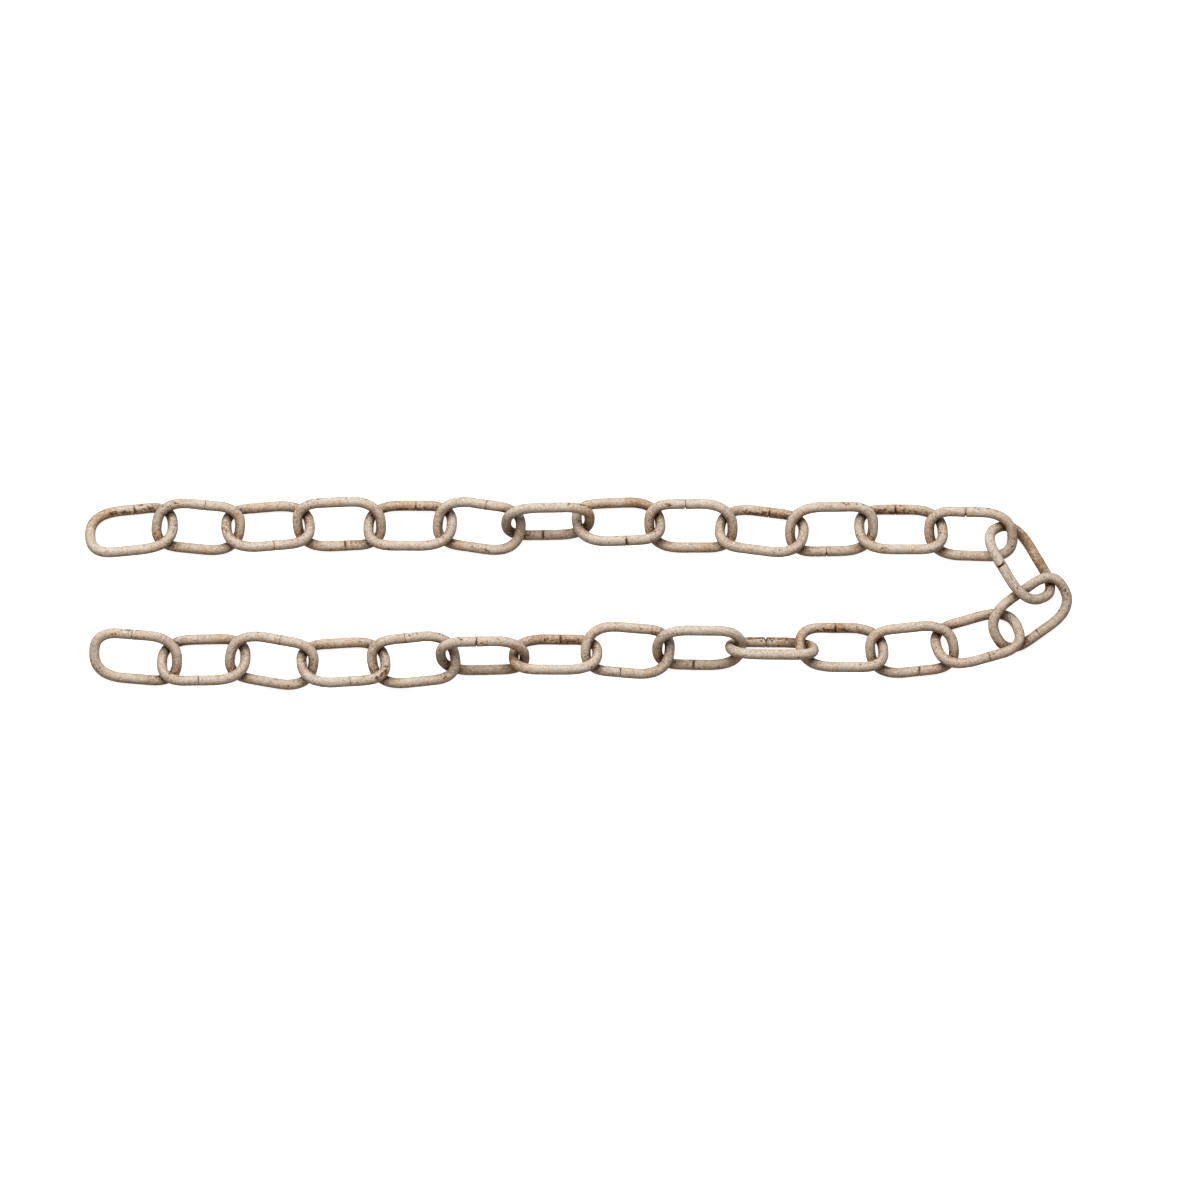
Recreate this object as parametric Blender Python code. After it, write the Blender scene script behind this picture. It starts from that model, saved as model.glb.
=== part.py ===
"""A length of oval-link steel chain, laid on a level surface as a hairpin that is open towards -X.

Each link is one bent wire whose two ends meet in a butt seam on a long side. It is a little
skewed: at each end one corner is bent tighter than the other, and the two tight ones are
diagonally opposite. The links are numbered from the free end of the run at +Y, round the bend at
+X, to the free end of the run at -Y. The origin is at the middle of the footprint, on the surface.
"""

import math
from collections import namedtuple

import bpy
import numpy as np
from mathutils import Matrix, Vector

# Driving dimensions, in metres.
WIRE = 0.00475  # diameter of the wire
LINK_LENGTH = 0.0449  # outside length of a link
LINK_WIDTH = 0.0265  # outside width of a link
TIGHT_CORNER = 0.0122  # length of the corner next to the seam, and of the opposite one
WIDE_CORNER = 0.0165  # length of the other two corners
END_SHIFT = 0.0017  # from the long axis to the outermost point of an end, towards its tight corner
CORNER_POWER = 2.5  # 2 is an ellipse, and more is squarer
SEAM_GAP = 0.0005  # opening between the wire's ends
SEAM_OFFSET = 0.0025  # from the middle of the side to the seam
CONTACT_GAP = 0.0003  # left between links that touch

# Half sizes of a link's centre-line.
HALF_LENGTH = (LINK_LENGTH - WIRE) / 2
HALF_WIDTH = (LINK_WIDTH - WIRE) / 2

# Fineness of the faceted wire.
WIRE_SIDES = 8
CORNER_STEPS = 7

# Search for the place where two links pull tight.
FIRST_PULL = 0.009
PULL_STEP = 0.0005
PULL_HALVINGS = 16

COLLECTION = "steel_chain"
COAT_COLOR = (0.46, 0.34, 0.24, 1.0)
COAT_ROUGHNESS = 0.85
COAT_METALLIC = 0.0

LEFT, RIGHT = 1, -1
AHEAD, BEHIND = 1, -1

# How one link lies. heading is the direction of its long axis, in degrees anticlockwise from +X.
# roll is in degrees, and a positive one lifts the side on the left of the heading. The seam is on
# the left or right side, a little ahead of or behind its middle. tip is in degrees, and a positive
# one lifts the end ahead. lift raises the whole link, in metres, onto the wires that carry it. turn
# is the angle, in degrees, from the mean of the two headings to the way the link pulls on the one
# before it.
Lie = namedtuple("Lie", "heading roll seam_side seam_end tip lift turn", defaults=(0, 0, 0))

LIES = [
    Lie(6, -18, LEFT, AHEAD),
    Lie(-5.5, 18, LEFT, AHEAD, tip=-1, turn=-7),
    Lie(4.5, -22.5, RIGHT, AHEAD, turn=1),
    Lie(2.5, 22.5, RIGHT, AHEAD, tip=1, turn=8),
    Lie(-0.5, -19.5, LEFT, AHEAD, turn=-5),
    Lie(-9, 20.5, LEFT, AHEAD, tip=4.5, lift=0.0006, turn=-3),
    Lie(1, 61, RIGHT, BEHIND, turn=6),
    Lie(3.5, -24.5, RIGHT, AHEAD, tip=-6.5, turn=-1),
    Lie(0, 22.5, LEFT, BEHIND, tip=2, turn=1),
    Lie(-7.5, -22.5, LEFT, AHEAD, turn=-1),
    Lie(1, 19, RIGHT, BEHIND, turn=-1),
    Lie(0, -20, LEFT, BEHIND, tip=-1, turn=-2),
    Lie(-2.5, 22.5, LEFT, BEHIND, tip=6, turn=6),
    Lie(-60, -35, RIGHT, BEHIND, tip=1, turn=1),
    Lie(-144.5, -18.5, LEFT, AHEAD, turn=42),
    Lie(-164, 17, LEFT, BEHIND, tip=1.5, turn=2),
    Lie(-174, -19, LEFT, BEHIND, turn=10),
    Lie(-179.5, 22.5, RIGHT, AHEAD, tip=7.5, lift=0.0005, turn=2),
    Lie(-180.5, 67, RIGHT, AHEAD, tip=1.5, turn=12),
    Lie(-181, -48, LEFT, AHEAD, turn=-2),
    Lie(-185, -5, LEFT, AHEAD, tip=-1, lift=0.0053),
    Lie(-180.5, 41, RIGHT, BEHIND, turn=3),
    Lie(-179, -58, RIGHT, AHEAD, tip=-1.5, turn=1),
    Lie(-175, -16.5, RIGHT, AHEAD, tip=-7.5, lift=0.0017, turn=9),
    Lie(-176, 24, LEFT, BEHIND, tip=3, turn=6),
    Lie(-190, -22.5, RIGHT, BEHIND, turn=3),
    Lie(-179, 17.5, LEFT, AHEAD, turn=-4),
    Lie(-184.5, -19.5, RIGHT, AHEAD, turn=-2),
]


def clear_scene():
    for thing in list(bpy.data.objects):
        bpy.data.objects.remove(thing, do_unlink=True)


def power(value, exponent):
    """A signed power, for the rounded corners."""
    return math.copysign(abs(value) ** exponent, value)


def link_outline():
    """The centre-line of a link in its own plane, from one end of the wire round to the other.

    The seam is on the +Y side, SEAM_OFFSET towards +X from its middle.
    """
    points = [Vector((SEAM_OFFSET + SEAM_GAP / 2, HALF_WIDTH, 0))]
    for corner, end in enumerate((1, 1, -1, -1)):
        is_wide = corner % 2
        length = WIDE_CORNER if is_wide else TIGHT_CORNER
        width = HALF_WIDTH + END_SHIFT if is_wide else HALF_WIDTH - END_SHIFT
        for step in range(is_wide, CORNER_STEPS + 1):
            angle = math.pi / 2 * (1 - corner - step / CORNER_STEPS)
            along = end * (HALF_LENGTH - length) + length * power(math.cos(angle), 2 / CORNER_POWER)
            across = end * END_SHIFT + width * power(math.sin(angle), 2 / CORNER_POWER)
            points.append(Vector((along, across, 0)))
    points.append(Vector((SEAM_OFFSET - SEAM_GAP / 2, HALF_WIDTH, 0)))
    return points


def link_turn(lie):
    """The rotation of a link.

    A half turn brings the seam to its place. The link is then rolled about its long axis, tipped,
    and turned to its heading.
    """
    heading = Matrix.Rotation(math.radians(lie.heading), 3, "Z")
    tip = Matrix.Rotation(math.radians(-lie.tip), 3, "Y")
    roll = Matrix.Rotation(math.radians(lie.roll), 3, "X")
    half_turn = Matrix.Diagonal((lie.seam_end, lie.seam_side, lie.seam_end * lie.seam_side))
    return heading @ tip @ roll @ half_turn


def resting_height(outline, lie):
    """The height of a link's centre when its wire lies on the surface.

    The wire's corners are at equal angles from the link's own plane normal.
    """
    between_corners = 360 / WIRE_SIDES
    from_corner = abs((lie.roll + between_corners / 2) % between_corners - between_corners / 2)
    reach_down = WIRE / 2 * math.cos(math.radians(from_corner))
    turn = link_turn(lie)
    return reach_down - min((turn @ point).z for point in outline)


def segment_gap(one, other):
    """The least distance between two centre-lines, each an array of points."""
    a, b = one[:-1, None], one[1:, None]
    c, d = other[None, :-1], other[None, 1:]
    ab, cd, ca = b - a, d - c, a - c
    ab_ab = (ab * ab).sum(-1)
    cd_cd = (cd * cd).sum(-1)
    ab_cd = (ab * cd).sum(-1)
    ab_ca = (ab * ca).sum(-1)
    cd_ca = (cd * ca).sum(-1)
    spread = np.maximum(ab_ab * cd_cd - ab_cd**2, 1e-18)
    along = np.clip((ab_cd * cd_ca - cd_cd * ab_ca) / spread, 0, 1)
    across = np.clip((ab_cd * along + cd_ca) / cd_cd, 0, 1)
    along = np.clip((ab_cd * across - ab_ca) / ab_ab, 0, 1)
    between = ca + ab * along[..., None] - cd * across[..., None]
    return math.sqrt((between * between).sum(-1).min())


def flat_direction(degrees):
    return Vector((math.cos(math.radians(degrees)), math.sin(math.radians(degrees)), 0))


def crown(lie, turn):
    """Where the arch of a link's end ahead is centred, seen from above and from the link's centre.

    The arch behind is centred at the opposite point.
    """
    centre = turn @ (lie.seam_end * Vector((HALF_LENGTH - HALF_WIDTH, END_SHIFT, 0)))
    return Vector((centre.x, centre.y, 0))


def placed(outline, turn, centre):
    return np.array([turn @ point + centre for point in outline])


def pulled_tight(outline, line_before, turn, start, pull):
    """How far along pull, from start, a link slides before it touches the link before it."""

    def clear(distance):
        line = placed(outline, turn, start + pull * distance)
        return segment_gap(line_before, line) >= WIRE + CONTACT_GAP

    near = FIRST_PULL
    while clear(near + PULL_STEP):
        near += PULL_STEP
    far = near + PULL_STEP
    for _ in range(PULL_HALVINGS):
        middle = (near + far) / 2
        near, far = (middle, far) if clear(middle) else (near, middle)
    return near


def laid_out(outline):
    """Each link's rotation and centre, found along the chain, with the footprint's middle at the origin.

    A link starts with its arch behind over the arch ahead of the link before it.
    """
    turns = [link_turn(lie) for lie in LIES]
    crowns = [crown(lie, turn) for lie, turn in zip(LIES, turns)]
    centres = [Vector((0, 0, resting_height(outline, LIES[0])))]
    for number, lie in enumerate(LIES[1:], start=1):
        turn, turn_before = turns[number], turns[number - 1]
        pull = flat_direction((LIES[number - 1].heading + lie.heading) / 2 + lie.turn)
        last = centres[-1]
        start = last + crowns[number - 1] + crowns[number]
        start.z = resting_height(outline, lie) + lie.lift
        line_before = placed(outline, turn_before, last)
        centres.append(start + pull * pulled_tight(outline, line_before, turn, start, pull))
    corners = np.concatenate([placed(outline, turn, centre) for turn, centre in zip(turns, centres)])
    middle = (corners.min(axis=0) + corners.max(axis=0)) / 2
    return [(turn, centre - Vector((middle[0], middle[1], 0))) for turn, centre in zip(turns, centres)]


def coated_steel():
    material = bpy.data.materials.new("chalky_coated_steel")
    material.use_nodes = True
    shader = material.node_tree.nodes["Principled BSDF"]
    shader.inputs["Base Color"].default_value = COAT_COLOR
    shader.inputs["Roughness"].default_value = COAT_ROUGHNESS
    shader.inputs["Metallic"].default_value = COAT_METALLIC
    return material


def link_wire(outline):
    """The curve that all links share."""
    wire = bpy.data.curves.new("link_wire", "CURVE")
    wire.dimensions = "3D"
    wire.twist_mode = "Z_UP"
    wire.bevel_depth = WIRE / 2
    wire.bevel_resolution = WIRE_SIDES // 2 - 2
    wire.use_fill_caps = True
    run = wire.splines.new("POLY")
    run.points.add(len(outline) - 1)
    for point, place in zip(run.points, outline):
        point.co = (*place, 1)
    wire.materials.append(coated_steel())
    return wire


def make_chain():
    outline = link_outline()
    wire = link_wire(outline)
    collection = bpy.data.collections.new(COLLECTION)
    bpy.context.scene.collection.children.link(collection)
    for number, (turn, centre) in enumerate(laid_out(outline), start=1):
        link = bpy.data.objects.new(f"link_{number:02d}", wire)
        link.matrix_world = Matrix.Translation(centre) @ turn.to_4x4()
        collection.objects.link(link)


clear_scene()
make_chain()
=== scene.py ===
"""The looks of a length of oval-link steel chain: chalky limewash, brushed thinly over rusted steel.

Each plain link of the frame is replaced by a finely swept one, with the coat's lumps and pits, and a
sawn butt seam with rounded lips. Lengths are in metres, in the frame's own axes. Round the wire,
0 degrees is the link's outer side, 90 is its top as it lies, and 180 is its inner side.
"""

import math
from collections import namedtuple

import bpy
import numpy as np
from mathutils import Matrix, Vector, noise


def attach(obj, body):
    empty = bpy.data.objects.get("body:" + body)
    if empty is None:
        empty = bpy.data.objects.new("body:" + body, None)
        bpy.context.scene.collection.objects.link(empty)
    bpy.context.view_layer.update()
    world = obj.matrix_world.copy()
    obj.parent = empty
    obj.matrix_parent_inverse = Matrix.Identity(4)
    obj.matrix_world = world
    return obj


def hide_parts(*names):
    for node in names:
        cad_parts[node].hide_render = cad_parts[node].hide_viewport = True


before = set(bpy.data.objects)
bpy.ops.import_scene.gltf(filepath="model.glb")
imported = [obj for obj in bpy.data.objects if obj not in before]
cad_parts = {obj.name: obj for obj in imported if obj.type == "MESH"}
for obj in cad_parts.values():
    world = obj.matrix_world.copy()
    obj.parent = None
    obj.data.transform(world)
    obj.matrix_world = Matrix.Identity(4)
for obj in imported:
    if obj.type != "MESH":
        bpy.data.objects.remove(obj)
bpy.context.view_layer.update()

FULL_TURN = 2 * math.pi

# The link, as the frame's solids have it.
WIRE = 0.00475  # diameter of the bare wire
LINK_LENGTH = 0.0449  # outside length of a link
LINK_WIDTH = 0.0265  # outside width of a link
TIGHT_CORNER = 0.0122  # length of the corner next to the seam, and of the opposite one
WIDE_CORNER = 0.0165  # length of the other two corners
END_SHIFT = 0.0017  # from the long axis to the outermost point of an end, towards its tight corner
CORNER_POWER = 2.5  # 2 is an ellipse, and more is squarer
SEAM_GAP = 0.0005  # opening between the wire's ends
SEAM_OFFSET = 0.0025  # from the middle of the side to the seam
HALF_LENGTH = (LINK_LENGTH - WIRE) / 2  # of the centre-line
HALF_WIDTH = (LINK_WIDTH - WIRE) / 2
FRAME_SIDES = 8
FRAME_STEPS = 7  # along each corner

# Fineness of the swept links. Rings stand closer and closer towards the seam.
FINE_SIDES = 44
FINE_STEPS = 50  # along each corner
PLAIN_RINGS = 236
SEAM_RINGS = 12  # on each side of the seam
FIRST_STEP = 0.00004  # from the seam to the next ring
STEP_GROWTH = 1.22
LIP_RING = 3  # the ring at the lip of the cut, counted from the seam

# The seam. It is sawn to opening, and where it was pinched badly it gapes by notch more on
# notch_side. Links that aren't listed have a plain seam.
Seam = namedtuple("Seam", "opening notch notch_side", defaults=(0.00026, 0, 180))
SEAMS = {
    1: Seam(0.00024, 0.0003, 160),
    4: Seam(0.00014, 0.0005, 150),
    5: Seam(0.00016, 0.0003, 170),
    7: Seam(0.0001, 0.0007, 165),
    8: Seam(0.0002, 0.0006, 20),
    9: Seam(0.0003, 0.0004, 170),
    10: Seam(0.00014, 0.0006, 165),
    11: Seam(0.0002, 0.0003, 30),
    12: Seam(0.0002, 0.0006, 150),
    13: Seam(0.0004, 0.0003, 150),
    14: Seam(0.0003, 0.0005, 20),
    15: Seam(0.00018),
    16: Seam(0.00034),
    17: Seam(0.00034, 0.0002, 150),
    18: Seam(0.0002, 0.0005, 165),
    19: Seam(0.0004, 0.0005, 100),
    20: Seam(0.0001, 0.0006, 160),
    21: Seam(0.0004),
    22: Seam(0.0003, 0.0005, 150),
    23: Seam(0.0004, 0.0002, 90),
    26: Seam(0.00014),
    27: Seam(0.00038),
}
CUT_DEPTH = 0.0004
CUT_WANDER = 0.00012  # how far the cut strays along the wire, in CUT_WAVES waves round it
CUT_WAVES = 3
CUT_RAGGED = 0.35  # how much its opening varies round the wire, as a share
CUT_TEETH = (5, 3)  # how often it does so in one turn, in two waves
CUT_FLOOR = 4  # the cut's bottom is round at 2, and flatter with more
NOTCH_BREADTH = 1.5  # with more, more of the notch is fully open
NOTCH_TAPER = 3  # with more, its ends are sharper
LIP_DROP = 0.00008  # how far the lips are rounded down, over LIP_REACH
LIP_REACH = 0.0003
LIP_SWELL = 0.00008  # how far the pinched ends bulge, over SWELL_REACH
SWELL_REACH = 0.0011
SHIFT_REACH = 0.7 * SWELL_REACH  # how far from the seam the rings are moved with it

# Rust at the seam, where about 0.5 is brown and 1 is nearly black.
CUT_RUST = 0.6
NOTCH_RUST = 0.5  # more than that in a notch of WIDEST_NOTCH
WIDEST_NOTCH = 0.0008
LIP_STAIN = 0.2  # beside the cut, fading over STAIN_REACH
NOTCH_STAIN = 0.5  # more than that beside a notch
STAIN_REACH = 0.0004

# The coat of rust and limewash on the wire.
COAT = 0.00014  # thickness
FLOOR = -0.0001  # height at which its underside is pressed flat
LUMPS = [(0.0070, 0.00008), (0.0021, 0.00004), (0.0010, 0.00002)]  # size of a lump, and its height

# Pits through the coat, some alone and some in rows along the wire.
LONE_PITS = 16
PIT_ROWS = 5
PITS_IN_ROW = (4, 10)  # at least the first, and fewer than the second
ROW_REACH = 0.0028  # spread of a row along the wire
ROW_SPREAD = 12  # spread of a row or streak round the wire, in degrees
PITTED_REACH = 0.05  # each way along the wire from the seam
PIT_RADIUS = (0.00018, 0.00052)
PIT_DEPTH = (0.00005, 0.00016)
PIT_STRETCH = 1.3  # along the wire
PIT_EDGE = 1.3  # where a pit ends, in its radii
PIT_RUST = 1.3  # in a lone pit of the full depth

# Streaks where the coat is pitted through: from first to last along the wire, from the seam.
Streak = namedtuple("Streak", "link first last side pits")
STREAKS = [
    Streak(1, -0.014, 0.009, 132, 46),
    Streak(5, -0.010, 0.006, 160, 22),
    Streak(10, -0.013, 0.009, 150, 34),
    Streak(12, -0.011, 0.013, 145, 40),
    Streak(18, -0.009, 0.010, 150, 34),
    Streak(19, -0.013, 0.012, 120, 40),
    Streak(22, -0.010, 0.010, 155, 26),
    Streak(25, 0.010, 0.020, 60, 20),
]
STREAK_PIT_RADIUS = (0.00025, 0.00060)
STREAK_PIT_DEPTH = (0.00010, 0.00020)

# Where rust blooms through the coat: places in the plan, and how far each reaches.
BLOOMS = [
    (-0.230, 0.0356), (-0.085, 0.0415), (0.007, 0.0371), (0.029, 0.0429), (0.094, 0.0376),
    (0.155, 0.0395), (0.2166, 0.0254), (0.222, 0.016), (0.126, -0.018), (0.1026, -0.022),
    (-0.008, -0.0243), (-0.019, -0.0243), (-0.032, -0.0341),
]
BLOOM_REACH = 0.0060

# Where links rub, the coat is worn and dirt has gathered. The coat there is also darkened as painted
# shade in the crevices between links.
RUB_AND_SHADE_REACH = 0.0024
INNER_REACH = 0.0020  # more than that on the inner side of a link
RUB_AND_SHADE_STEP = 2  # every other point of a neighbour's centre-line is near enough

# Colours of the coat, from loose lime to the rust at the bottom of a pit.
CRUMB = (0.73, 0.685, 0.63, 1)
CHALK = (0.525, 0.468, 0.41, 1)
GREY_SAND = (0.40, 0.31, 0.225, 1)
ORANGE_SAND = (0.45, 0.30, 0.175, 1)
BROWN = (0.27, 0.148, 0.07, 1)
STAIN = (0.16, 0.073, 0.03, 1)
DARK = (0.065, 0.034, 0.018, 1)

# Mottles of the coat: the size of a cloud, how many finer layers there are and how strong, and the
# stretch along the wire.
Mottle = namedtuple("Mottle", "size detail rough stretch", defaults=(2, 0.5, 1))
MOTTLES = {
    "clouds": Mottle(0.011),
    "rusty": Mottle(0.0075, stretch=1.5),
    "patches": Mottle(0.0032, 3, 0.6, 1.6),
    "strokes": Mottle(0.0011, stretch=5),
    "grain": Mottle(0.0009, rough=0.65),
    "sandy": Mottle(0.0005, 1),
    "crumbs": Mottle(0.0007, 1),
}
MOTTLE_MIDDLE = 0.5

# Where other fields of the coat, and two of the mottles, go from 0 to 1.
LEVELS = {
    # The next two levels make the coat lighter higher up and on faces that point up.
    "high": (0.001, 0.015),  # by the height of a point
    "up": (-0.4, 1.0),  # by how far the surface faces up
    # The next level grows on faces turned away from the key light, which stands towards +Y. The colour
    # it drives there is painted shade, and partly rust.
    "shade_and_rust_side": (0.3, -0.8),  # by how far it faces +Y
    "rusty": (0.42, 0.66),
    "crumbs": (0.60, 0.71),
}

# What adds to the cover of limewash on the sand, and what takes from it. It is about 0 to 1. Nearness to
# other links takes it away as wear, and as painted shade in the crevices.
EVEN_COVER = 0.07
MOTTLED_COVER = {"clouds": 0.6, "patches": 0.75, "strokes": 0.7, "grain": 1.75, "sandy": 1.8}
# Faces turned away from the key light lose limewash here: painted shade, and partly rust.
PLACED_COVER = {"up": 0.4, "high": 0.25, "shade_and_rust_side": -0.2, "rub_and_shade": -0.5, "bloom": -0.5}
CHALK_LEVELS = (0.1, 1.25)  # cover at which sand turns to chalk
BARE_LEVELS = (0.35, -0.35)  # cover at which it turns to brown
BARE_BROWN = 0.8

# Orange in the sand, brown specks and light crumbs. A bloom has more specks and fewer crumbs.
# Faces turned away from the key light get more orange: painted shade, and partly rust.
ORANGE = {"rusty": 0.8, "shade_and_rust_side": 0.5, "bloom": 1}
# More dark specks gather near other links: dirt, and painted shade in the crevices.
SPECKS = {"grain": 0.55, "sandy": 0.45, "patches": 0.25, "rub_and_shade": -0.12, "bloom": -0.08, "up": -0.05}
SPECK_LEVELS = (0.54, 0.47)
SPECK_BROWN = 0.52
CRUMB_LIGHT = 0.6
BLOOM_GRIT = 0.4

# Wear where links rub, and the dirt there. Both also stand for painted shade in the crevices between
# links.
WEAR_AND_SHADE_SPREAD = 1.1
WORN_AND_SHADED_BROWN = 0.8
DIRT_AND_SHADE_SPECKS = 1.6
DIRT_AND_SHADE_LEVELS = (0.45, 0.95)
DIRT_AND_SHADE = 0.65

# Rust at which the coat is stained, and at which it is dark.
STAIN_LEVELS = (0.0, 0.6)
DARK_LEVELS = (0.6, 1.1)

# The coat's gloss and its finest relief.
ROUGHNESS = 0.6
CHALK_ROUGHNESS = 0.2  # more than that where it is all chalk
RELIEF = {"grain": 0.7, "sandy": 0.4}
RELIEF_HEIGHT = 0.00009

# The floor.
FLOOR_SIZE = 400
FLOOR_DROP = 0.00005  # below the coat's underside
FLOOR_GREY = (0.6, 0.6, 0.6, 1)
FLOOR_ROUGHNESS = 0.9
FLOOR_GLOW = 0.86

# The studio's light: level all round, overhead, and thrown back by the floor. The level light is
# brighter behind the chain, towards +Y, than before it, and the key light stands there too.
WHITE = (1, 1, 1, 1)
LEVEL_BEHIND = (0.72, 0.72, 0.72, 1)
LEVEL_BEFORE = (0.45, 0.45, 0.45, 1)
LEVEL_TURN = (-0.5, 0.5)  # towards +Y, from before to behind
OVERHEAD = (0.26, 0.26, 0.26, 1)
OVERHEAD_RISE = (0.0, 0.5)  # upwards, from level to overhead
BOUNCE_BEHIND = (0.13, 0.09, 0.06, 1)
BOUNCE_BEFORE = (0.34, 0.29, 0.24, 1)
BOUNCE_TURN = (-0.5, 0.3)
HORIZON = (-0.02, -0.005)  # upwards, from the bounce to the rest
KEY_PLACE = (-0.3, 1.2, 1.65)
KEY_SIZE = 1.8
KEY_WATTS = 66

# The photograph's view.
IMAGE_PIXELS = 1200
METRES_PER_PIXEL = 0.000483
ORIGIN_PIXEL = (578.5, 594.1)  # where the middle of the footprint shows
CAMERA_ELEVATION = 82.5  # in degrees
CAMERA_DISTANCE = 4.0
CAMERA_REACH = 1000  # past the floor's far edge
SENSOR_WIDTH = 36  # in millimetres


# Shader maths.


class Value:
    """A number that varies over a surface. Sums and products of it add Math nodes."""

    def __init__(self, shader, socket):
        self.shader = shader
        self.socket = socket

    def combined(self, operation, *others):
        inputs = {place: other for place, other in enumerate((self, *others))}
        return self.shader.node("Math", {"operation": operation}, inputs)

    def __add__(self, other):
        return self.combined("ADD", other)

    def __radd__(self, other):
        return self + other

    def __sub__(self, other):
        return self.combined("SUBTRACT", other)

    def __rsub__(self, other):
        return self * -1 + other

    def __mul__(self, other):
        return self.combined("MULTIPLY", other)

    def __rmul__(self, other):
        return self * other

    def clamped(self):
        return self.combined("MINIMUM", 1).combined("MAXIMUM", 0)

    def ramp(self, low, high):
        """0 at low, 1 at high, and smooth between."""
        settings = {"interpolation_type": "SMOOTHSTEP"}
        return self.shader.node("MapRange", settings, {"Value": self, "From Min": low, "From Max": high})


class Shader:
    """A node tree, made by calls, that ends in one surface node."""

    def __init__(self, owner, surface):
        owner.use_nodes = True
        self.tree = owner.node_tree
        self.surface = self.tree.nodes[surface]

    def node(self, kind, settings=None, inputs=None, output=0):
        made = self.tree.nodes.new("ShaderNode" + kind)
        for name, setting in (settings or {}).items():
            setattr(made, name, setting)
        for name, value in (inputs or {}).items():
            self.feed(made.inputs[name], value)
        return Value(self, made.outputs[output])

    def feed(self, socket, value):
        if isinstance(value, Value):
            self.tree.links.new(value.socket, socket)
        else:
            socket.default_value = value

    def finish(self, **inputs):
        for name, value in inputs.items():
            self.feed(self.surface.inputs[name.replace("_", " ")], value)

    def part(self, vector, axis):
        return self.node("SeparateXYZ", inputs={"Vector": vector}, output=axis)

    def painted(self, name, output="Fac"):
        return self.node("Attribute", {"attribute_name": name}, output=output)

    def mottle(self, kind):
        """Cloudy noise, about 0 to 1, laid along the straightened wire."""
        scale = (1 / kind.stretch / kind.size, 1 / kind.size, 1 / kind.size)
        along_wire = self.painted("straightened", "Vector")
        place = self.node("Mapping", inputs={"Vector": along_wire, "Scale": scale})
        inputs = {"Vector": place, "Scale": 1, "Detail": kind.detail, "Roughness": kind.rough}
        return self.node("TexNoise", inputs=inputs)

    def mixed(self, share, first, second):
        """The colour first, turning to second as share goes from 0 to 1.

        The node has a pair of inputs for each type of data, and its colours are inputs 6 and 7.
        """
        settings = {"data_type": "RGBA"}
        inputs = {"Factor": share, 6: first, 7: second}
        return self.node("Mix", settings, inputs, output=2)

    def bump(self, height, depth):
        return self.node("Bump", inputs={"Height": height, "Distance": depth})


# The coat's material.


def coat_fields(shader):
    """What varies over the coat, by name. Each field is about 0 to 1."""
    position = shader.node("NewGeometry", output="Position")
    facing = shader.node("NewGeometry", output="Normal")
    fields = {name: shader.mottle(kind) for name, kind in MOTTLES.items()}
    fields["high"] = shader.part(position, "Z")
    fields["up"] = shader.part(facing, "Z")
    # The Y of the normal, for the level of faces turned away from the key light: painted shade, and
    # partly rust.
    fields["shade_and_rust_side"] = shader.part(facing, "Y")
    for name, levels in LEVELS.items():
        fields[name] = fields[name].ramp(*levels)
    for name in ("rust", "rub_and_shade", "bloom"):
        fields[name] = shader.painted(name)
    return fields


def weighed(fields, shares, middle=0):
    """The sum of the named fields, each counted from middle and times its share."""
    return sum(fields[name] * share for name, share in shares.items()) - middle * sum(shares.values())


def coat_color(shader, fields, cover):
    """Sand under limewash, and over both the specks, crumbs, wear, dirt and rust, in that order. The
    wear and dirt near other links are also painted shade.
    """
    rub_and_shade = fields["rub_and_shade"]
    rust = fields["rust"]
    grit = fields["bloom"] * BLOOM_GRIT
    specks = weighed(fields, SPECKS).ramp(*SPECK_LEVELS)
    layers = [
        (cover.ramp(*CHALK_LEVELS), CHALK),
        (cover.ramp(*BARE_LEVELS) * BARE_BROWN, BROWN),
        (specks * (grit + SPECK_BROWN), BROWN),
        (fields["crumbs"] * (CRUMB_LIGHT - grit), CRUMB),
        # Near other links the coat turns brown and dark: wear and dirt, and painted shade in the
        # crevices.
        ((rub_and_shade * WEAR_AND_SHADE_SPREAD).clamped() * WORN_AND_SHADED_BROWN, BROWN),
        ((specks * DIRT_AND_SHADE_SPECKS * rub_and_shade + rub_and_shade.ramp(*DIRT_AND_SHADE_LEVELS) * DIRT_AND_SHADE).clamped(), DARK),
        (rust.ramp(*STAIN_LEVELS), STAIN),
        (rust.ramp(*DARK_LEVELS), DARK),
    ]
    color = shader.mixed(weighed(fields, ORANGE).clamped(), GREY_SAND, ORANGE_SAND)
    for share, layer in layers:
        color = shader.mixed(share, color, layer)
    return color


def chalked_steel():
    material = bpy.data.materials.new("chalked_rusty_steel")
    shader = Shader(material, "Principled BSDF")
    fields = coat_fields(shader)
    cover = weighed(fields, MOTTLED_COVER, MOTTLE_MIDDLE) + weighed(fields, PLACED_COVER) + EVEN_COVER
    shader.finish(
        Base_Color=coat_color(shader, fields, cover),
        Roughness=cover.clamped() * CHALK_ROUGHNESS + ROUGHNESS,
        Normal=shader.bump(weighed(fields, RELIEF), RELIEF_HEIGHT),
    )
    return material


def floor_paint():
    material = bpy.data.materials.new("pale_floor")
    Shader(material, "Principled BSDF").finish(
        Base_Color=FLOOR_GREY,
        Roughness=FLOOR_ROUGHNESS,
        Emission_Color=WHITE,
        Emission_Strength=FLOOR_GLOW,
    )
    return material


# The link's own shape.


def power(value, exponent):
    """A signed power, for the rounded corners."""
    return math.copysign(abs(value) ** exponent, value)


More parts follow.
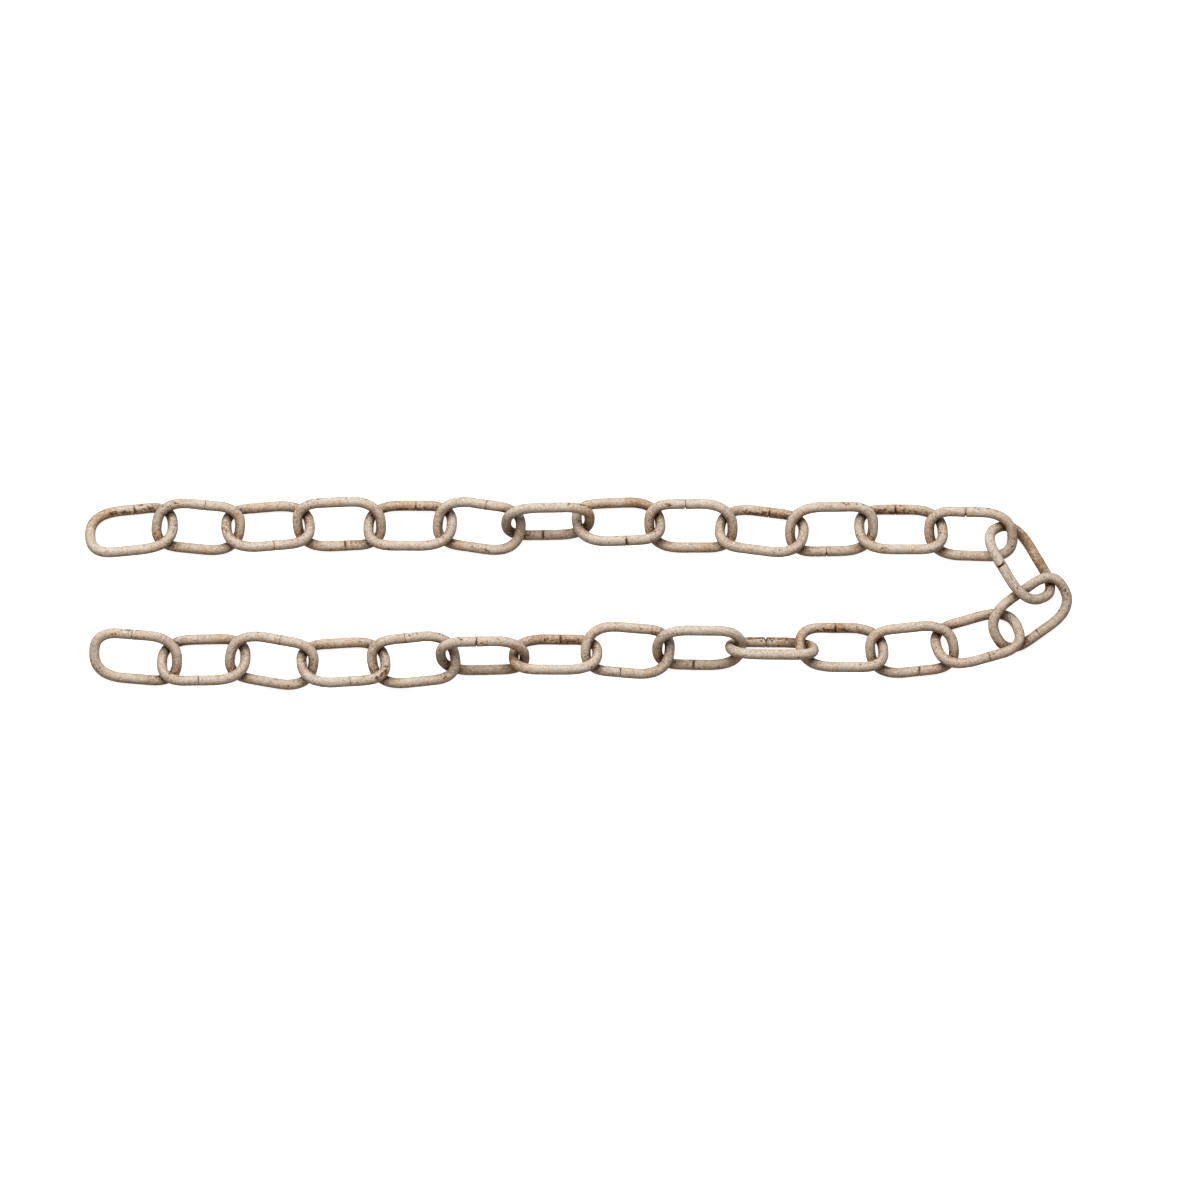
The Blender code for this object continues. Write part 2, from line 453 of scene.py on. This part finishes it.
def link_outline(steps, gap):
    """The centre-line of a link in its own plane, from one end of the wire round to the other.

    The seam is on the +Y side, SEAM_OFFSET towards +X from its middle.
    """
    points = [(SEAM_OFFSET + gap / 2, HALF_WIDTH, 0)]
    for corner, end in enumerate((1, 1, -1, -1)):
        is_wide = corner % 2
        length = WIDE_CORNER if is_wide else TIGHT_CORNER
        width = HALF_WIDTH + END_SHIFT if is_wide else HALF_WIDTH - END_SHIFT
        for step in range(is_wide, steps + 1):
            angle = math.pi / 2 * (1 - corner - step / steps)
            along = end * (HALF_LENGTH - length) + length * power(math.cos(angle), 2 / CORNER_POWER)
            across = end * END_SHIFT + width * power(math.sin(angle), 2 / CORNER_POWER)
            points.append((along, across, 0))
    points.append((SEAM_OFFSET - gap / 2, HALF_WIDTH, 0))
    return np.array(points)


def swept(line, forward, sides):
    """The directions from each point of a flat line to the corners of its ring, and their angles."""
    forward = forward / np.linalg.norm(forward, axis=1)[:, None]
    outward = np.stack([-forward[:, 1], forward[:, 0], np.zeros(len(line))], axis=1)
    angles = np.arange(sides) * FULL_TURN / sides
    around = outward[:, None] * np.cos(angles)[None, :, None]
    return around + np.array([0, 0, 1]) * np.sin(angles)[None, :, None], angles


# Where each link of the frame lies.


def node_corners(node):
    """Each corner of a node's mesh once, to a micrometre."""
    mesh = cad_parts[node].data
    corners = np.empty(len(mesh.vertices) * 3, np.float32)
    mesh.vertices.foreach_get("co", corners)
    return np.unique(corners.reshape(-1, 3).round(6), axis=0).astype(float)


def own_axes(points):
    """The centre of a link's points, and its long, cross and normal axes as columns.

    The long and the cross axis point to where the mean of the points is, which is the same side
    on every link.
    """
    axes = np.linalg.eigh(np.cov(points.T))[1][:, ::-1]
    reach = points @ axes
    middle = (reach.min(axis=0) + reach.max(axis=0)) / 2
    axes = axes * np.where(reach.mean(axis=0) < middle, -1, 1)
    reach = points @ axes
    centre = axes @ ((reach.min(axis=0) + reach.max(axis=0)) / 2)
    axes[:, 2] = np.cross(axes[:, 0], axes[:, 1])
    return centre, axes


def link_place(node):
    """The rotation and the shift that put a link's own shape where the frame's link lies."""
    line = link_outline(FRAME_STEPS, SEAM_GAP)
    around = swept(line, np.gradient(line, axis=0), FRAME_SIDES)[0]
    own_centre, own = own_axes((line[:, None] + around * WIRE / 2).reshape(-1, 3))
    centre, axes = own_axes(node_corners(node))
    turn = axes @ own.T
    return turn, centre - turn @ own_centre


def placed(points, place):
    """Points of a link's own shape, as a list of where they lie in the frame."""
    turn, shift = place
    return points.reshape(-1, 3) @ turn.T + shift


# The fine links.


def ring_places():
    """The rings' points on the closed centre-line, and how far along the wire from the seam they are."""
    line = link_outline(FINE_STEPS, 0)
    reached = np.concatenate([[0], np.cumsum(np.linalg.norm(np.diff(line, axis=0), axis=1))])
    length = reached[-1]

    # How far along the wire the rings are wanted: leaving the seam, round the link, and back at it.
    near = np.cumsum(FIRST_STEP * STEP_GROWTH ** np.arange(SEAM_RINGS))
    plain = np.linspace(near[-1], length - near[-1], PLAIN_RINGS)
    wanted = np.concatenate([[0], near[:-1], plain, length - near[-2::-1]])
    rings = np.stack([np.interp(wanted, reached, line[:, axis]) for axis in range(3)], axis=1)
    return rings, np.where(wanted > length / 2, wanted - length, wanted)


def side_angle(degrees, faces_up):
    """An angle round the wire, turned over for a link whose own top faces down."""
    return math.radians(degrees if faces_up else -degrees)


def seam_shape(seam, from_seam, angles, faces_up, random):
    """The seam's shift of each point along the wire, its change of the radius, and its rust."""
    phase = random.uniform(0, FULL_TURN, CUT_WAVES)
    wander = sum(np.sin(angles * (wave + 1) + phase[wave]) / (wave + 1) for wave in range(CUT_WAVES))
    teeth = [np.sin(angles * count + phase[wave]) for wave, count in enumerate(CUT_TEETH)]
    ragged = 1 + CUT_RAGGED * teeth[0] * teeth[1]
    to_notch = angles - side_angle(seam.notch_side, faces_up)
    gape = np.clip(NOTCH_BREADTH * np.cos(to_notch), 0, 1) ** NOTCH_TAPER
    half_opening = (seam.opening * ragged + seam.notch * gape) / 2

    # The rings up to LIP_RING line the cut, and those past it the lips.
    cut = abs(from_seam[LIP_RING])
    away = np.abs(from_seam)[:, None]
    side = np.sign(from_seam)[:, None]
    inside = np.clip(away / cut, 0, 1)
    outside = np.clip(away - cut, 0, None)
    fading = np.exp(-((away / SHIFT_REACH) ** 2))
    shift = fading * (CUT_WANDER * wander + side * inside * (half_opening - cut))
    lip = LIP_DROP * np.clip(1 - outside / LIP_REACH, 0, 1) ** 2
    depth = (CUT_DEPTH + seam.notch * gape) * (1 - inside**CUT_FLOOR)
    radius = LIP_SWELL * np.exp(-outside / SWELL_REACH) - lip - depth

    stain = np.exp(-outside / STAIN_REACH) * (LIP_STAIN + NOTCH_STAIN * gape)
    rust = np.where(inside < 1, CUT_RUST + NOTCH_RUST * gape * seam.notch / WIDEST_NOTCH, stain)
    return shift, radius, rust


def pit_places(number, faces_up, random):
    """The pits of a link: along the wire from the seam, round it, radius and depth."""

    def pit(along, side, radius=PIT_RADIUS, depth=PIT_DEPTH):
        return along, side, random.uniform(*radius), random.uniform(*depth)

    def anywhere():
        return random.uniform(-PITTED_REACH, PITTED_REACH), random.uniform(0, FULL_TURN)

    pits = [pit(*anywhere()) for _ in range(LONE_PITS)]
    for _ in range(PIT_ROWS):
        middle, side = anywhere()
        for _ in range(random.integers(*PITS_IN_ROW)):
            turn = side + math.radians(random.normal(0, ROW_SPREAD))
            pits.append(pit(middle + random.normal(0, ROW_REACH), turn))
    for streak in STREAKS:
        if streak.link == number:
            for _ in range(streak.pits):
                turn = side_angle(streak.side + random.normal(0, ROW_SPREAD), faces_up)
                along = random.uniform(streak.first, streak.last)
                pits.append(pit(along, turn, STREAK_PIT_RADIUS, STREAK_PIT_DEPTH))
    return pits


def pit_field(pits, from_seam, angles):
    """How deep the pits are at each point."""
    field = np.zeros((len(from_seam), len(angles)))
    for along, side, radius, depth in pits:
        lengthwise = (from_seam - along)[:, None] / PIT_STRETCH
        round_wire = (angles - side + math.pi) % FULL_TURN - math.pi
        away = np.hypot(lengthwise, round_wire[None, :] * WIRE / 2) / radius
        field = np.maximum(field, depth * np.clip(PIT_EDGE - away, 0, 1))
    return field


def lump_field(straightened, number):
    """The height of the coat's lumps at each point."""
    start = Vector((number, 0, 0))
    points = [Vector(point) for point in straightened]
    height = np.zeros(len(points))
    for size, amount in LUMPS:
        height += amount * np.array([noise.noise(point / size + start) for point in points])
    return height


def nearness(points, lines, reach):
    """1 where a point touches the wire of a line, falling off with the gap between them."""
    line = np.concatenate(lines)
    gap = np.min([np.linalg.norm(points - place, axis=1) for place in line], axis=0) - WIRE / 2
    return np.exp(-np.clip(gap, 0, None) / reach)


def bloom_field(points):
    """1 at the places where rust blooms through the coat, falling off round them."""
    away = [np.hypot(points[:, 0] - x, points[:, 1] - y) for x, y in BLOOMS]
    return np.exp(-((np.min(away, axis=0) / BLOOM_REACH) ** 2))


def coated_link(number, place, neighbours):
    """The points of a coated link in its place, ring by ring, and what its material reads there."""
    random = np.random.default_rng(number)
    turn = place[0]
    faces_up = turn[2, 2] > 0
    line, from_seam = ring_places()
    forward = np.roll(line, -1, axis=0) - np.roll(line, 1, axis=0)
    forward /= np.linalg.norm(forward, axis=1)[:, None]
    around, angles = swept(line, forward, FINE_SIDES)

    seam = SEAMS.get(number, Seam())
    seam_shift, seam_radius, seam_rust = seam_shape(seam, from_seam, angles, faces_up, random)
    pits = pit_field(pit_places(number, faces_up, random), from_seam, angles)
    along = from_seam[:, None] + seam_shift
    sides = (along + number, WIRE / 2 * np.cos(angles), WIRE / 2 * np.sin(angles))
    straightened = np.stack(np.broadcast_arrays(*sides), axis=-1)
    lumps = lump_field(straightened.reshape(-1, 3), number).reshape(along.shape)

    bare = placed(line[:, None] + around * WIRE / 2, place)
    # Nearness to the neighbouring links gives wear and dirt, and painted shade in the crevices between
    # them.
    rub_and_shade_reach = RUB_AND_SHADE_REACH + INNER_REACH * np.clip(-np.cos(angles), 0, 1)
    rub_and_shade_reach = np.broadcast_to(rub_and_shade_reach, along.shape).reshape(-1)
    rub_and_shade = nearness(bare, neighbours, rub_and_shade_reach).reshape(along.shape)
    radius = WIRE / 2 + (COAT + lumps) * (1 - rub_and_shade) - pits + seam_radius
    points = line[:, None] + around * radius[..., None] + forward[:, None] * seam_shift[..., None]
    points = placed(points, place)
    points[:, 2] = np.maximum(points[:, 2], FLOOR)

    rust = np.maximum(seam_rust, pits / PIT_DEPTH[1] * PIT_RUST)
    fields = {"straightened": straightened, "rust": rust, "rub_and_shade": rub_and_shade, "bloom": bloom_field(points)}
    return points, fields


def ring_faces(rings, sides):
    """Quads between each ring and the next, and from the last ring to the first."""
    ring, side = np.meshgrid(np.arange(rings), np.arange(sides), indexing="ij")
    next_ring, next_side = (ring + 1) % rings, (side + 1) % sides
    corners = [(ring, side), (ring, next_side), (next_ring, next_side), (next_ring, side)]
    return np.stack([row * sides + column for row, column in corners], axis=-1).reshape(-1, 4)


def paint(mesh, name, values):
    """Keeps a field on a mesh, one number or one vector a point, for its material."""
    is_vector = values.size > len(mesh.vertices)
    field = mesh.attributes.new(name, "FLOAT_VECTOR" if is_vector else "FLOAT", "POINT")
    field.data.foreach_set("vector" if is_vector else "value", values.astype(np.float32).reshape(-1))


def link_mesh(name, points, fields):
    mesh = bpy.data.meshes.new(name)
    mesh.from_pydata(points, [], ring_faces(len(points) // FINE_SIDES, FINE_SIDES).tolist())
    mesh.shade_smooth()
    for field, values in fields.items():
        paint(mesh, field, values)
    return mesh


def dress_links():
    """Replaces each link of the frame by a coated one. A link rubs on the one before and after it, and
    its coat is worn, dirtied and darkened with painted shade where they come near.
    """
    coat = chalked_steel()
    nodes = sorted(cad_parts)
    places = [link_place(node) for node in nodes]
    outline = ring_places()[0][::RUB_AND_SHADE_STEP]
    lines = [placed(outline, place) for place in places]
    for index, node in enumerate(nodes):
        neighbours = lines[max(index - 1, 0):index] + lines[index + 1:index + 2]
        points, fields = coated_link(index + 1, places[index], neighbours)
        mesh = link_mesh(f"coated_{node}", points, fields)
        mesh.materials.append(coat)
        link = bpy.data.objects.new(f"coated_{node}", mesh)
        bpy.context.scene.collection.objects.link(link)
        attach(link, "root")
        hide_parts(node)


# The studio.


def lay_floor():
    bpy.ops.mesh.primitive_plane_add(size=FLOOR_SIZE, location=(0, 0, FLOOR - FLOOR_DROP))
    floor = bpy.context.object
    floor.name = "floor"
    floor.visible_diffuse = False
    floor.visible_glossy = False
    floor.data.materials.append(floor_paint())


def light_world():
    """Lights the chain from all round, and shows plain white to the camera."""
    world = bpy.data.worlds.new("soft_studio")
    bpy.context.scene.world = world
    shader = Shader(world, "Background")
    direction = shader.node("TexCoord", output="Generated")
    rise = shader.part(direction, "Z")
    behind = shader.part(direction, "Y")
    level = shader.mixed(behind.ramp(*LEVEL_TURN), LEVEL_BEFORE, LEVEL_BEHIND)
    above = shader.mixed(rise.ramp(*OVERHEAD_RISE), level, OVERHEAD)
    bounce = shader.mixed(behind.ramp(*BOUNCE_TURN), BOUNCE_BEFORE, BOUNCE_BEHIND)
    light = shader.mixed(rise.ramp(*HORIZON), bounce, above)
    seen = shader.node("LightPath", output="Is Camera Ray")
    shader.finish(Color=shader.mixed(seen, light, WHITE))


def add_key_light():
    light = bpy.data.lights.new("key", "AREA")
    light.shape = "DISK"
    light.size = KEY_SIZE
    light.energy = KEY_WATTS
    lamp = bpy.data.objects.new("key", light)
    bpy.context.scene.collection.objects.link(lamp)
    lamp.location = KEY_PLACE
    lamp.rotation_euler = Vector(KEY_PLACE).to_track_quat("Z", "Y").to_euler()


def set_camera():
    camera = bpy.data.cameras.new("camera")
    camera.sensor_width = SENSOR_WIDTH
    camera.lens = SENSOR_WIDTH * CAMERA_DISTANCE / (IMAGE_PIXELS * METRES_PER_PIXEL)
    camera.clip_end = CAMERA_REACH
    eye = bpy.data.objects.new("camera", camera)
    bpy.context.scene.collection.objects.link(eye)
    elevation = math.radians(CAMERA_ELEVATION)
    right = (IMAGE_PIXELS / 2 - ORIGIN_PIXEL[0]) * METRES_PER_PIXEL
    up = (ORIGIN_PIXEL[1] - IMAGE_PIXELS / 2) * METRES_PER_PIXEL
    target = Vector((right, up * math.sin(elevation), up * math.cos(elevation)))
    away = Vector((0, -math.cos(elevation), math.sin(elevation)))
    eye.location = target + away * CAMERA_DISTANCE
    eye.rotation_euler = (math.pi / 2 - elevation, 0, 0)
    bpy.context.scene.camera = eye
    bpy.context.scene.view_settings.view_transform = "Standard"


dress_links()
lay_floor()
light_world()
add_key_light()
set_camera()
